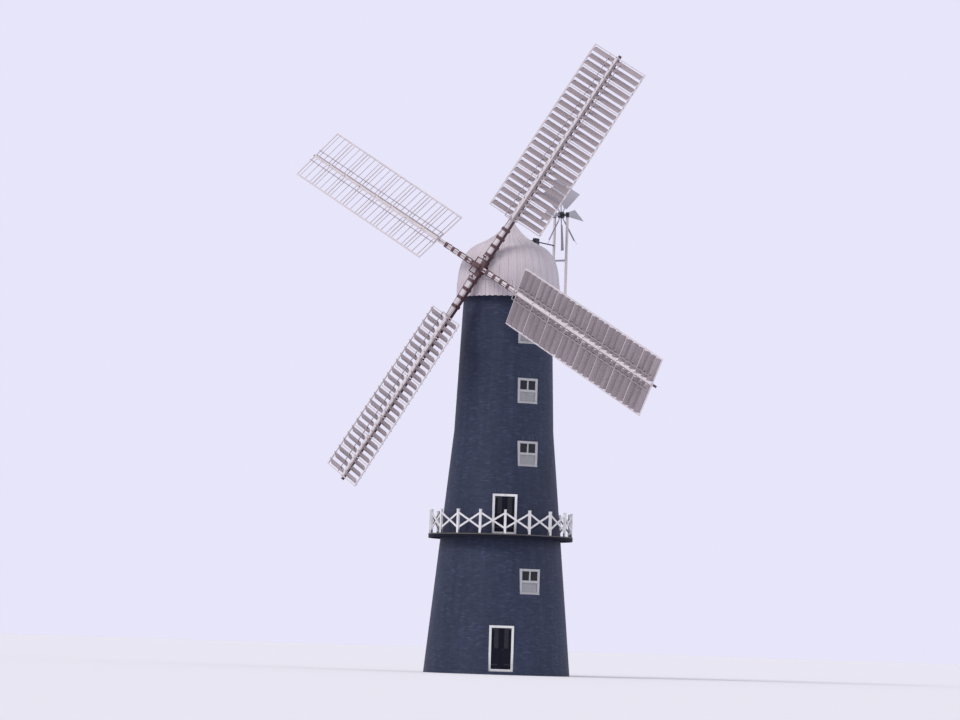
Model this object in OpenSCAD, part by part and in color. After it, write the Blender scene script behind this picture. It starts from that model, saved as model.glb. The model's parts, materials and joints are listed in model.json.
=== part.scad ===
// Tower mill with a round brick tower, a railed gallery, a turning ogee cap,
// four shuttered sails and a fantail. Millimetres, +Z up. The origin is the
// centre of the tower on the ground, and the sails face -Y.

/* [Tower] */
// Outside radius of the tower at the ground
base_r = 3490; // [3300:10:3700]
// Height at which the slope of the wall becomes steeper
bend_z = 11600; // [11000:50:12000]
// Outside radius at the bend
bend_r = 2370; // [2300:10:2450]
// Height of the brickwork
tower_top_z = 18000; // [17700:50:18300]
// Outside radius at the top
top_r = 2120; // [2050:10:2150]
// Thickness of the brick wall
wall_t = 500; // [380:10:600]
// Thickness of the slab at the ground
slab_t = 150; // [100:10:200]
// Thickness of a boarded floor
floor_t = 120; // [80:5:160]
// Width of the ledge that carries each floor
ledge_w = 80; // [50:5:120]
// Level of the first floor
first_floor_z = 3300; // [3100:50:3500]
// Level of the stage floor and the gallery
stage_z = 6600; // [6400:50:6800]
// Level of the third floor
third_floor_z = 9350; // [9250:50:9450]
// Level of the fourth floor
fourth_floor_z = 12350; // [12250:50:12450]
// Level of the fifth floor
fifth_floor_z = 15200; // [15100:50:15300]

/* [Windows and doors] */
// Direction of the first row of windows, in degrees from the front
window_az = 59; // [50:1:70]
// Width of a window
window_w = 1050; // [800:10:1150]
// Height of a window
window_h = 1200; // [900:10:1300]
// Height of a window's middle above its floor
window_rise = 1100; // [950:10:1150]
// Direction of the first row of doors, in degrees from the front
door_az = 34; // [26:1:40]
// Width of a door with its frame
door_w = 1160; // [900:10:1250]
// Height of a gallery door with its frame
stage_door_h = 1900; // [1800:10:2100]
// Height of a ground door with its frame
ground_door_h = 2150; // [1900:10:2300]
// Width of the frame bars
frame_bar = 110; // [70:5:130]
// Depth of the frames, front to back
frame_d = 150; // [120:5:200]
// How far a frame stands out of the brickwork
frame_proud = 30; // [15:1:50]
// Thickness of a door leaf
leaf_t = 50; // [35:1:60]
// Thickness of the glass
glass_t = 6; // [4:1:10]
// Thickness of the board in a window's lower half
panel_t = 30; // [18:1:40]
// Width of the bar between two panes
mullion_w = 60; // [40:1:80]
// Height of a window sill
sill_h = 60; // [40:1:80]

/* [Gallery] */
// Width of the deck from the wall to its edge
deck_w = 600; // [500:10:800]
// Thickness of the deck boards
deck_t = 45; // [30:1:60]
// Height of a joist
joist_h = 150; // [110:5:180]
// Width of a joist
joist_w = 90; // [60:5:120]
// Thickness of the board around the edge
edge_t = 50; // [30:1:70]
// Number of posts
posts = 18; // [14:1:22]
// Direction of the first post, in degrees from the front
post_az = 34; // [30:0.5:40]
// Width of a post
post_w = 110; // [80:1:120]
// Height of a post
post_h = 1120; // [1000:10:1250]
// How far a post stands in from the edge
post_inset = 70; // [60:1:100]
// Height of a brace bar
brace_h = 85; // [60:1:100]
// Thickness of a brace bar
brace_t = 30; // [20:1:40]
// Height of a brace's lower end above the deck
brace_low = 260; // [150:10:400]
// Height of a brace's upper end above the deck
brace_high = 980; // [800:10:1050]

/* [Cap] */
// Height of the curb that the cap turns on
curb_h = 110; // [80:5:150]
// Width of the curb
curb_w = 380; // [300:10:450]
// How far the curb stands in from the face of the wall
curb_inset = 20; // [0:5:60]
// Running gap between the cap and the curb
curb_gap = 0.5; // [0.3:0.1:1]
// Thickness of the ring under the cap
cap_ring_t = 120; // [90:5:150]
// Outside radius of the skirt
skirt_r = 2460; // [2400:10:2520]
// Thickness of the skirt
skirt_t = 60; // [40:5:80]
// How far the skirt hangs below the brickwork's top
skirt_drop = 50; // [0:5:100]
// Height of the skirt
skirt_h = 700; // [600:10:750]
// Thickness of the roof shell
roof_t = 60; // [40:5:80]
// How far the roof's foot stands in from the skirt
roof_step = 10; // [0:1:20]
// Height of the roof's shoulder above the skirt
shoulder_rise = 1920; // [1800:10:2050]
// Radius of the roof's shoulder
shoulder_r = 1500; // [1400:10:1600]
// Height of the roof's tip above the skirt
tip_rise = 3200; // [3050:10:3350]
// Radius of the roof's tip
tip_r = 90; // [80:1:110]
// Radius of the ball on the tip
ball_r = 72; // [60:1:90]
// Height of the ball's middle above the tip
ball_rise = 110; // [80:1:130]
// Clearance around the windshaft where it passes the roof
roof_clear = 80; // [60:5:100]
// Width of a sheer
sheer_w = 180; // [140:5:200]
// Height of a sheer
sheer_h = 200; // [160:5:240]
// Distance of the sheers from the middle
sheer_x = 360; // [340:5:380]
// Reach of the sheers to the front
sheer_front = 2250; // [2200:10:2280]
// Height of the beam under the neck of the shaft
weather_h = 320; // [280:10:340]
// Width of the beam under the neck of the shaft
weather_w = 1800; // [1500:10:1900]
// Thickness of the beams under the shaft
beam_t = 240; // [200:10:280]
// Thickness of the iron around a journal
bearing_t = 80; // [60:5:90]
// Place of the neck bearing in front of the middle
neck_y = 2030; // [2000:5:2050]
// Place of the tail bearing behind the middle
tail_y = 300; // [250:10:350]

/* [Sails] */
// Slope of the windshaft in degrees
shaft_tilt = 12; // [11:0.5:13]
// Distance of the sails in front of the middle
hub_reach = 2660; // [2640:5:2760]
// Height of the hub above the brickwork
hub_rise = 1215; // [1190:5:1240]
// Turn of the first sail in degrees
sail_turn = 59.9; // [0:0.1:89.9]
// Radius of the shaft's neck
neck_r = 180; // [160:5:190]
// Radius of the shaft's body
shaft_r = 160; // [140:5:170]
// Length of the shaft's neck
neck_l = 900; // [850:10:950]
// Radius of the tail journal
tail_r = 110; // [90:5:120]
// Length of the tail journal
tail_l = 550; // [500:10:600]
// Reach of the shaft past the beam under its tail
shaft_over = 50; // [30:5:80]
// Radial clearance of a journal in its bearing
running_gap = 0.08; // [0.05:0.01:0.1]
// Length of a stock from the hub to its tip
stock_l = 12030; // [11950:10:12200]
// Width of a stock at the hub
stock_w = 220; // [200:5:230]
// Depth of a stock at the hub
stock_d = 220; // [200:5:225]
// Width of a stock at its tip
stock_tip_w = 110; // [90:5:130]
// Depth of a stock at its tip
stock_tip_d = 120; // [100:5:150]
// Iron between the two stocks in the canister
web_t = 20; // [15:1:24]
// Thickness of the canister's walls
canister_t = 25; // [20:1:28]
// Half length of each of the canister's boxes
canister_l = 420; // [380:5:440]
// Width of a whip at the hub
whip_w = 200; // [170:5:210]
// Width of a whip at the tip
whip_tip_w = 120; // [90:5:130]
// Depth of a whip
whip_d = 130; // [120:5:150]
// Distance of a whip's start from the hub
whip_start = 450; // [445:5:500]
// Height of the bars' middle above the stock
bar_rise = 66; // [64:1:72]
// Distance of the innermost bar from the hub
heel_r = 2790; // [2700:10:2900]
// Distance of the outermost bar from the hub
sail_r = 11870; // [11800:10:11900]
// Width of the leading side
lead_w = 1280; // [1100:10:1350]
// Width of the trailing side
trail_w = 1600; // [1400:10:1650]
// Angle of the innermost bar in degrees
heel_weather = 22.6; // [20:0.2:25]
// Angle of the outermost bar in degrees
tip_weather = 19.2; // [15:0.2:20]
// Number of bays in a sail
bays = 8; // [7:1:9]
// Width of a sail bar
bar_w = 45; // [35:1:60]
// Thickness of a sail bar
bar_t = 35; // [25:1:45]
// Width of a rail along the edge of a sail
rail_w = 70; // [50:1:90]
// Thickness of a rail along the edge of a sail
rail_t = 40; // [30:1:50]
// Shutters in a bay, on each side
bay_shutters = 3; // [2:1:3]
// Play between two shutters when they are shut
shutter_play = 14; // [8:1:20]
// Thickness of a shutter
shutter_t = 14; // [10:1:20]
// Gap between a shutter and the woodwork beside it
shutter_gap = 14; // [10:1:25]
// Opening of the shutters in degrees
shutter_open = 48; // [30:1:60]
// Radius of a shutter's pivot pin
pin_r = 10; // [8:1:12]
// Distance of a shutter bar from the whip's middle
link_x = 330; // [280:10:400]
// Width of a shutter bar
link_w = 32; // [24:1:40]
// Clamps on each arm between the hub and the innermost bar
clamps = 4; // [3:1:4]
// Distance of the first clamp from the hub
clamp_start = 725; // [715:5:780]
// Distance from one clamp to the next
clamp_pitch = 480; // [350:10:500]
// Width of a clamp
clamp_w = 150; // [80:5:160]
// Thickness of a clamp's iron
clamp_t = 30; // [10:1:32]

/* [Striking gear] */
// Radius of the boss on the canister
boss_r = 150; // [100:5:160]
// Height of the boss on the canister
boss_h = 60; // [40:5:80]
// Radius of the striking rod
rod_r = 30; // [20:1:35]
// Reach of the striking rod in front of the canister
rod_l = 400; // [380:10:450]
// Thickness of the spider
spider_t = 40; // [30:1:50]
// Radius of the spider's hub
spider_hub_r = 80; // [60:5:100]
// Distance of a crank's pivot from the hub
pivot_r = 570; // [560:5:590]
// Height of a crank's pivot above the whip
pivot_rise = 90; // [70:5:100]
// Length of a crank's arm towards the spider
crank_in = 180; // [140:5:190]
// Length of a crank's arm towards the shutters
crank_out = 150; // [120:5:170]
// Width of the cranks' arms and of the links
crank_w = 44; // [36:1:48]
// Thickness of a crank
crank_t = 30; // [20:1:34]
// Thickness of the links and of the cranks' brackets
cheek_t = 14; // [10:1:18]
// Play beside the cranks and the links
cheek_play = 1; // [0.5:0.1:2]
// Radius of the pins
gear_pin_r = 12; // [9:1:13]
// Radius of the rods from the cranks to the shutter bars
uplong_r = 12; // [10:1:14]
// Distance of the yoke from the innermost bar
yoke_in = 70; // [50:5:90]
// Radius of the yoke's eye
yoke_eye_r = 28; // [24:1:32]

/* [Fantail] */
// Distance of the fantail behind the middle
fan_y = 4880; // [4780:10:4980]
// Height of the fantail's axle above the brickwork
fan_rise = 4600; // [4550:10:4700]
// Radius of the fantail
fan_r = 1750; // [1600:10:1800]
// Turn of the first blade in degrees
fan_turn = 5; // [0:1:44]
// Number of blades
blades = 8; // [6:1:8]
// Width of a blade at its tip
blade_tip_w = 760; // [600:10:800]
// Width of a blade at its root
blade_root_w = 220; // [180:10:260]
// Distance of a blade's root from the axle
blade_start = 480; // [440:10:600]
// Thickness of a blade
blade_t = 15; // [10:1:20]
// Slant of a blade in degrees
blade_pitch = 40; // [30:1:42]
// Thickness of a blade's arm
arm_t = 50; // [40:1:60]
// Radius of the fantail's hub
fan_hub_r = 160; // [140:5:180]
// Length of the fantail's hub
fan_hub_l = 240; // [200:5:260]
// Radius of the fantail's axle
axle_r = 45; // [35:1:50]
// Width of a fantail post
fan_post_w = 100; // [80:5:120]
// Height of the posts' crossbar above the brickwork
crossbar_rise = 2300; // [2100:10:2500]
// Height of the posts' long rail above the brickwork
rail_rise = 3100; // [3000:10:3150]
// Reach of the sheers behind the fantail's axle
sheer_tail = 260; // [150:10:400]
// Reach of the axle past its bearings
axle_over = 30; // [20:1:40]
// How much wider a bearing is than its post
bearing_over = 30; // [20:1:40]
// Width of the posts' long rail
long_rail_w = 50; // [40:1:60]
// Place of the drive box on the rail behind the middle
box_y = 2950; // [2800:10:3000]
// Length of the drive box along the rail
box_l = 340; // [280:10:380]
// Width of the drive box across the rail
box_w = 180; // [140:5:200]
// Height of the drive box
box_h = 320; // [260:10:360]
// Height of the posts' crossbar
crossbar_h = 90; // [70:5:110]
// Length of the boards in front of the posts
stage_l = 850; // [700:10:900]
// Thickness of the boards in front of the posts
stage_t = 40; // [30:1:50]
// Gap between the boards and the posts
stage_gap = 50; // [20:5:80]
// Reach of the boards past the sheers
stage_over = 60; // [40:5:90]

/* [Hidden] */
$fn = 96;
seat_gap = 0.3;
cut_over = 50;
opposite = [0, 180];
floor_levels = [first_floor_z, stage_z, third_floor_z, fourth_floor_z, fifth_floor_z];
window_floors = [first_floor_z, third_floor_z, fourth_floor_z, fifth_floor_z];
cap_z = tower_top_z + curb_h + curb_gap;
sheer_z = cap_z + cap_ring_t;
sheer_top = sheer_z + sheer_h;
skirt_z = tower_top_z - skirt_drop;
roof_z = skirt_z + skirt_h;
hub_z = tower_top_z + hub_rise;
fan_z = tower_top_z + fan_rise;
fan_post_y = fan_y - fan_post_w / 2;
shaft_back = canister_t + stock_d + web_t / 2;
shaft_l = (hub_reach + tail_y + beam_t / 2) / cos(shaft_tilt) + shaft_over;
sail_plane = [-web_t / 2, web_t / 2 + stock_d];
steps = 24;
mid_weather = (heel_weather + tip_weather) / 2;
bay_l = (sail_r - heel_r) / bays;
shutter_pitch = (bay_l - bar_w) / bay_shutters;
chord = shutter_pitch - shutter_play;
yoke_r = heel_r - yoke_in;
link_front = chord / 2 * sin(shutter_open) + shutter_t / 2 * cos(shutter_open)
             + link_w / 2 + 3 * seat_gap;
spider_z = shaft_back + rod_l - spider_t / 2;
spider_reach = pivot_r - crank_in;
crank_z = whip_d + pivot_rise;
crank_end = [pivot_r, -(crank_t + cheek_t) / 2 - cheek_play, crank_z + crank_out];
uplong_way = yoke_point(crank_end.y) - crank_end;
uplong_l = norm(uplong_way);

// Outside radius of the tower at a height
function tower_r(z) =
    z < bend_z ? base_r + (bend_r - base_r) * z / bend_z
               : bend_r + (top_r - bend_r) * (z - bend_z) / (tower_top_z - bend_z);

// Distance of a flat face of width w whose edges meet the round wall
function face_r(z, w) = sqrt(pow(tower_r(z), 2) - pow(w / 2, 2));

// Outline of a stretch of wall, from radius in_t inside the face to grow outside it
function wall_outline(z0, z1, in_t, grow = 0) =
    let(bend = (z0 < bend_z && bend_z < z1) ? [bend_z] : [])
    concat([for (z = concat([z0], bend, [z1])) [tower_r(z) + grow, z]],
           [for (z = concat([z1], bend, [z0])) [max(tower_r(z) - in_t, 0), z]]);

// Point on a cubic curve
function cubic(p, t) =
    pow(1 - t, 3) * p[0] + 3 * t * pow(1 - t, 2) * p[1]
    + 3 * t * t * (1 - t) * p[2] + pow(t, 3) * p[3];

// Outside curve of the roof: a full shoulder, then a hollow sweep up to the tip
function roof_curve() =
    let(low = [[skirt_r - roof_step, roof_z], [skirt_r * 0.976, roof_z + shoulder_rise * 0.5],
               [shoulder_r * 1.433, roof_z + shoulder_rise * 0.86],
               [shoulder_r, roof_z + shoulder_rise]],
        high = [low[3], [shoulder_r * 0.66, roof_z + shoulder_rise * 1.117],
                [shoulder_r * 0.28, roof_z + tip_rise * 0.781], [tip_r, roof_z + tip_rise]])
    concat([for (i = [0:steps - 1]) cubic(low, i / steps)],
           [for (i = [0:steps]) cubic(high, i / steps)]);

// The same curve moved square to itself by d, inwards
function moved_curve(c, d) =
    [for (i = [0:len(c) - 1])
        let(a = c[max(i - 1, 0)], b = c[min(i + 1, len(c) - 1)], t = (b - a) / norm(b - a))
        [max(c[i].x - d * t.y, 1), c[i].y + d * t.x]];

// Direction of the sail bars at distance r, as [across, forward]
function bar_dir(r) =
    let(f = (r - heel_r) / (sail_r - heel_r))
    (1 - f) * [cos(heel_weather), sin(heel_weather)] + f * [cos(tip_weather), sin(tip_weather)];
function bar_angle(r) = atan2(bar_dir(r).y, bar_dir(r).x);
function whip_half(r) =
    (whip_w + (whip_tip_w - whip_w) * (r - whip_start) / (sail_r - whip_start)) / 2;
function stock_half(r) =
    let(f = max(0, (r - canister_l) / (stock_l - canister_l)))
    [stock_w + (stock_tip_w - stock_w) * f, stock_d + (stock_tip_d - stock_d) * f] / 2;
function spine_half(r) = max(stock_half(r).x, whip_half(r));

// Point on a sail's yoke at x across the stock
function yoke_point(x) =
    let(m = bar_dir(yoke_r) / norm(bar_dir(yoke_r)))
    sail_point(yoke_r, (x + link_front * m.y) / m.x, link_front);

module at_az(az) { rotate([0, 0, az]) children(); }

module tower_core(z0, z1, grow) {
    rotate_extrude() polygon(wall_outline(z0, z1, base_r, grow));
}

// Straight bar of section w by t from p to q; roll turns it about its own length
module bar(p, q, w, t, roll = 0) {
    d = q - p;
    translate(p)
        rotate([0, 0, atan2(d.y, d.x)])
        rotate([0, -atan2(d.z, norm([d.x, d.y])), 0])
        rotate([roll, 0, 0])
        translate([0, -w / 2, -t / 2])
        cube([norm(d), w, t]);
}

// Brick wall between two levels, with a pocket for the floor that it carries
module storey(z0, z1, pocket) {
    color([0.2, 0.21, 0.28])
    difference() {
        rotate_extrude() polygon(wall_outline(z0, z1, wall_t));
        if (pocket)
            translate([0, 0, z0 - cut_over])
            cylinder(r = floor_r(z0) + seat_gap, h = floor_t + cut_over);
        openings_cut(z0, z1);
    }
}

// A floor rests on the ledge that the wall below leaves
function floor_r(z) = tower_r(z) - wall_t + ledge_w;

module openings_cut(z0, z1) {
    for (z = window_floors)
        if (z >= z0 && z < z1)
            for (turn = opposite)
                wall_hole(window_az + turn, z + window_rise - window_h / 2, window_w, window_h);
    if (z0 < slab_t)
        for (turn = opposite) wall_hole(door_az + turn, slab_t, door_w, ground_door_h);
    if (z0 <= stage_z && stage_z < z1)
        for (turn = opposite) wall_hole(door_az + turn, stage_z, door_w, stage_door_h);
}

module wall_hole(az, z, w, h) {
    at_az(az)
        translate([-w / 2, -base_r - cut_over, z])
        cube([w, base_r + cut_over - top_r / 3, h]);
}

module ground_slab() {
    color([0.45, 0.43, 0.42])
        cylinder(r = tower_r(slab_t) - wall_t - seat_gap, h = slab_t);
}
module ground_storey() { storey(0, first_floor_z, false); }
module first_storey() { storey(first_floor_z, stage_z, true); }
module stage_storey() { storey(stage_z, third_floor_z, true); }
module third_storey() { storey(third_floor_z, fourth_floor_z, true); }
module fourth_storey() { storey(fourth_floor_z, fifth_floor_z, true); }
module top_storey() { storey(fifth_floor_z, tower_top_z, true); }

module floors() {
    color([0.55, 0.45, 0.35])
    for (z = floor_levels)
        translate([0, 0, z]) cylinder(r = floor_r(z), h = floor_t);
}

// Puts a flat piece of an opening's width in the plane of its frame's front
module in_wall(az, z_mid, z, w) {
    at_az(az) translate([-w / 2, -face_r(z_mid, w) - frame_proud, z]) children();
}

// A frame's two jambs and its rails, each rail a separate bar between the jambs
module frame_bars(w, h, levels) {
    for (x = [0, w - frame_bar])
        translate([x, 0, 0]) cube([frame_bar, frame_d, h]);
    for (z = levels)
        translate([frame_bar + seat_gap, 0, z])
            cube([w - 2 * (frame_bar + seat_gap), frame_d, frame_bar]);
}

module each_window() {
    for (z = window_floors)
        for (turn = opposite)
            in_wall(window_az + turn, z + window_rise, z + window_rise - window_h / 2, window_w)
                children();
}

module window_frames() {
    color([0.88, 0.88, 0.9])
    each_window() {
        frame_bars(window_w, window_h, [0, (window_h - frame_bar) / 2, window_h - frame_bar]);
        translate([(window_w - mullion_w) / 2, 0, (window_h + frame_bar) / 2 + seat_gap])
            cube([mullion_w, frame_d / 3, (window_h - 3 * frame_bar) / 2 - 2 * seat_gap]);
        translate([0, -frame_proud, 0]) cube([window_w, frame_proud - seat_gap, sill_h]);
    }
}

module window_glass() {
    color([0.2, 0.23, 0.28])
    each_window()
        translate([frame_bar, frame_d / 3, window_h / 2 + frame_bar / 2])
        cube([window_w - 2 * frame_bar, glass_t, window_h / 2 - 1.5 * frame_bar]);
}

module window_panels() {
    color([0.75, 0.75, 0.78])
    each_window()
        translate([frame_bar, frame_d / 3, frame_bar])
        cube([window_w - 2 * frame_bar, panel_t, window_h / 2 - 1.5 * frame_bar]);
}

module each_door(z, h) {
    for (turn = opposite)
        in_wall(door_az + turn, z + h / 2, z, door_w) children();
}

module door_frames() {
    color([0.88, 0.88, 0.9]) {
        each_door(slab_t, ground_door_h)
            frame_bars(door_w, ground_door_h, [0, ground_door_h - frame_bar]);
        each_door(stage_z, stage_door_h)
            frame_bars(door_w, stage_door_h, [0, stage_door_h - frame_bar]);
    }
}

module leaf_pair(h) {
    leaf_w = door_w / 2 - frame_bar - seat_gap;
    for (x = [frame_bar, door_w / 2 + seat_gap])
        translate([x, frame_d / 3, frame_bar]) cube([leaf_w, leaf_t, h - 2 * frame_bar]);
}

module door_leaves() {
    color([0.16, 0.17, 0.22]) {
        each_door(slab_t, ground_door_h) leaf_pair(ground_door_h);
        each_door(stage_z, stage_door_h) leaf_pair(stage_door_h);
    }
}

deck_r = tower_r(stage_z) + deck_w;
joist_top = stage_z - deck_t - seat_gap;
post_r = deck_r - post_inset;
post_step = 360 / posts;

module gallery_joists() {
    joist_end = sqrt(pow(deck_r - edge_t, 2) - pow(joist_w / 2, 2)) - seat_gap;
    color([0.2, 0.2, 0.24])
    difference() {
        for (i = [0:posts - 1])
            at_az(post_az + i * post_step)
            translate([-joist_w / 2, -joist_end, joist_top - joist_h])
            cube([joist_w, joist_end - bend_r, joist_h]);
        tower_core(joist_top - joist_h - cut_over, stage_z + cut_over, seat_gap);
    }
}

module gallery_edge() {
    color([0.18, 0.18, 0.22])
    rotate_extrude()
        translate([deck_r - edge_t, joist_top - joist_h]) square([edge_t, joist_h]);
}

module gallery_deck() {
    color([0.3, 0.29, 0.32])
    rotate_extrude()
        polygon([[deck_r, stage_z - deck_t], [deck_r, stage_z],
                 [tower_r(stage_z) + seat_gap, stage_z],
                 [tower_r(stage_z - deck_t) + seat_gap, stage_z - deck_t]]);
}

module post_at(i, grow) {
    at_az(post_az + i * post_step)
        translate([-post_w / 2 - grow, -post_r - post_w / 2 - grow, stage_z + seat_gap])
        cube([post_w + 2 * grow, post_w + 2 * grow, post_h]);
}

module gallery_posts() {
    color([0.9, 0.9, 0.92])
    for (i = [0:posts - 1]) post_at(i, 0);
}

// Each bay has two braces, one behind the other, that cross between its posts
module gallery_braces() {
    reach = post_r * sin(post_step / 2);
    plane = post_r * cos(post_step / 2);
    color([0.9, 0.9, 0.92])
    for (i = [0:posts - 1])
        difference() {
            at_az(post_az + (i + 0.5) * post_step)
                for (side = [-1, 1]) {
                    y = side * (brace_t + seat_gap) / 2 - plane;
                    bar([-side * reach, y, stage_z + brace_low], [side * reach, y, stage_z + brace_high],
                        brace_t, brace_h);
                }
            post_at(i, seat_gap);
            post_at(i + 1, seat_gap);
        }
}

curb_r = top_r - curb_inset - curb_w;

module curb() {
    color([0.35, 0.3, 0.28])
    rotate_extrude()
        translate([curb_r, tower_top_z]) square([curb_w, curb_h]);
}

module cap_ring() {
    color([0.6, 0.5, 0.42])
    rotate_extrude()
        translate([curb_r, cap_z]) square([skirt_r - skirt_t - seat_gap - curb_r, cap_ring_t]);
}

module sheer_pair(grow) {
    for (side = [-1, 1])
        translate([side * sheer_x - sheer_w / 2 - grow, -sheer_front, sheer_z - grow])
        cube([sheer_w + 2 * grow, sheer_front + fan_y + sheer_tail, sheer_h + 2 * grow]);
}

module sheers() {
    color([0.85, 0.84, 0.84]) sheer_pair(0);
}

// The windshaft's frame: +Z runs forward along the shaft from between the stocks
module on_shaft() {
    translate([0, -hub_reach, hub_z]) rotate([90 - shaft_tilt, 0, 0]) children();
}
function shaft_z(y) = hub_z - (y + hub_reach) * tan(shaft_tilt);
tail_beam_z = floor(shaft_z(tail_y) - tail_r - bearing_t);

module shaft_beams() {
    color([0.6, 0.5, 0.42]) {
        translate([-weather_w / 2, -neck_y - beam_t / 2, sheer_top])
            cube([weather_w, beam_t, weather_h]);
        translate([-sheer_x + sheer_w / 2, tail_y - beam_t / 2, sheer_z])
            cube([2 * sheer_x - sheer_w, beam_t, tail_beam_z - sheer_z]);
    }
}

module shaft_bearings() {
    bearing_d = 0.8 * beam_t;
    color([0.25, 0.24, 0.26])
    difference() {
        union() {
            translate([-neck_r - bearing_t, -neck_y - bearing_d / 2, sheer_top + weather_h])
                cube([2 * (neck_r + bearing_t), bearing_d,
                      shaft_z(-neck_y) + neck_r + bearing_t - sheer_top - weather_h]);
            translate([-tail_r - bearing_t, tail_y - bearing_d / 2, tail_beam_z])
                cube([2 * (tail_r + bearing_t), bearing_d, 2 * (tail_r + bearing_t)]);
        }
        on_shaft() {
            translate([0, 0, -shaft_back - neck_l]) cylinder(r = neck_r + running_gap, h = neck_l);
            translate([0, 0, -shaft_l - cut_over])
                cylinder(r = tail_r + running_gap, h = tail_l + cut_over);
        }
    }
}

module cap_skirt() {
    color([0.8, 0.78, 0.8])
    difference() {
        rotate_extrude()
            translate([skirt_r - skirt_t, skirt_z]) square([skirt_t, skirt_h]);
        intersection() {
            sheer_pair(seat_gap);
            translate([-skirt_r, 0, skirt_z]) cube([2 * skirt_r, 2 * fan_y, skirt_h]);
        }
    }
}

module cap_roof() {
    outside = roof_curve();
    inside = moved_curve(outside, roof_t);
    color([0.84, 0.82, 0.84])
    difference() {
        rotate_extrude()
            polygon(concat(outside, [for (i = [len(inside) - 1:-1:1]) inside[i]],
                           [[outside[0].x - roof_t, roof_z]]));
        on_shaft()
            translate([0, 0, -shaft_back - neck_l])
            cylinder(r = neck_r + roof_clear, h = shaft_back + neck_l);
    }
}

module finial() {
    foot = roof_z + tip_rise;
    color([0.84, 0.82, 0.84])
    rotate_extrude()
        polygon(concat([[0, foot], [tip_r, foot]],
                       [for (a = [-50:10:90]) [ball_r * cos(a), foot + ball_rise + ball_r * sin(a)]]));
}

module fan_stage() {
    color([0.55, 0.5, 0.48])
    translate([-sheer_x - sheer_w / 2 - stage_over, fan_post_y - stage_gap - stage_l, sheer_top])
        cube([2 * (sheer_x + stage_over) + sheer_w, stage_l, stage_t]);
}

module fan_posts() {
    color([0.86, 0.86, 0.89])
    for (side = [-1, 1])
        translate([side * sheer_x - fan_post_w / 2, fan_post_y, sheer_top])
        cube([fan_post_w, fan_post_w, fan_z - axle_r - bearing_t - sheer_top]);
}

module fan_crossbar() {
    color([0.86, 0.86, 0.89])
    translate([-sheer_x + fan_post_w / 2, fan_post_y, tower_top_z + crossbar_rise])
        cube([2 * sheer_x - fan_post_w, fan_post_w, crossbar_h]);
}

// A rail from the roof to the post on the side of -X, with the fantail's drive box on it
module fan_rail() {
    color([0.3, 0.3, 0.33])
    translate([-sheer_x, 0, tower_top_z + rail_rise]) {
        difference() {
            translate([-long_rail_w / 2, sheer_x / 2, -long_rail_w / 2])
                cube([long_rail_w, fan_post_y - sheer_x / 2, long_rail_w]);
            translate([sheer_x, 0, -tower_top_z - rail_rise])
                rotate_extrude()
                polygon(concat([[0, roof_z]], moved_curve(roof_curve(), -seat_gap),
                               [[0, roof_z + tip_rise]]));
        }
        translate([-box_w / 2, box_y, -box_h / 2]) cube([box_w, box_l, box_h]);
    }
}

module fan_bearings() {
    color([0.2, 0.2, 0.22])
    for (side = [-1, 1])
        difference() {
            translate([side * sheer_x - fan_post_w / 2, fan_post_y - bearing_over,
                       fan_z - axle_r - bearing_t])
                cube([fan_post_w, fan_post_w + 2 * bearing_over, 2 * (axle_r + bearing_t)]);
            translate([side * sheer_x - fan_post_w, fan_y, fan_z])
                rotate([0, 90, 0]) cylinder(r = axle_r + running_gap, h = 2 * fan_post_w);
        }
}

module windshaft() {
    color([0.35, 0.26, 0.28])
    on_shaft() {
        translate([0, 0, -shaft_back - neck_l]) cylinder(r = neck_r, h = neck_l);
        translate([0, 0, -shaft_l + tail_l])
            cylinder(r = shaft_r, h = shaft_l - tail_l - shaft_back - neck_l);
        translate([0, 0, -shaft_l]) cylinder(r = tail_r, h = tail_l);
    }
}

// Two crossed iron boxes that hold the stocks, with a drilled boss for the striking rod
module canister() {
    half_w = stock_w / 2 + canister_t;
    color([0.3, 0.18, 0.2])
    on_shaft()
    rotate([0, 0, sail_turn])
    difference() {
        union() {
            translate([-canister_l, -half_w, -shaft_back])
                cube([2 * canister_l, 2 * half_w, shaft_back]);
            translate([-half_w, -canister_l, 0])
                cube([2 * half_w, 2 * canister_l, shaft_back]);
            translate([0, 0, shaft_back]) cylinder(r = boss_r, h = boss_h);
        }
        stock_hole(0);
        rotate([0, 0, 90]) stock_hole(1);
        translate([0, 0, shaft_back]) cylinder(r = rod_r + seat_gap, h = boss_h + cut_over);
    }
}

module stock_hole(i) {
    translate([-stock_l, -stock_w / 2 - seat_gap, sail_plane[i] - stock_d - seat_gap])
        cube([2 * stock_l, stock_w + 2 * seat_gap, stock_d + 2 * seat_gap]);
}

// A stock is straight through the canister and tapers to both tips, flat in front
module stock(i) {
    half = [canister_l, stock_l];
    side = [for (r = half) [r, stock_half(r).x]];
    deep = [for (r = half) [r, 2 * stock_half(r).y]];
    color([0.36, 0.22, 0.24])
    on_shaft()
    rotate([0, 0, sail_turn + 90 * i])
    intersection() {
        translate([0, 0, -stock_l])
            linear_extrude(2 * stock_l)
            polygon([side[1], side[0], [-side[0].x, side[0].y], [-side[1].x, side[1].y],
                     [-side[1].x, -side[1].y], [-side[0].x, -side[0].y],
                     [side[0].x, -side[0].y], [side[1].x, -side[1].y]]);
        translate([0, stock_w, sail_plane[i]])
            rotate([90, 0, 0])
            linear_extrude(2 * stock_w)
            polygon([[stock_l, 0], [-stock_l, 0], [-deep[1].x, -deep[1].y],
                     [-deep[0].x, -deep[0].y], [deep[0].x, -deep[0].y], [deep[1].x, -deep[1].y]]);
    }
}
module stock_one() { stock(0); }
module stock_two() { stock(1); }

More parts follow.
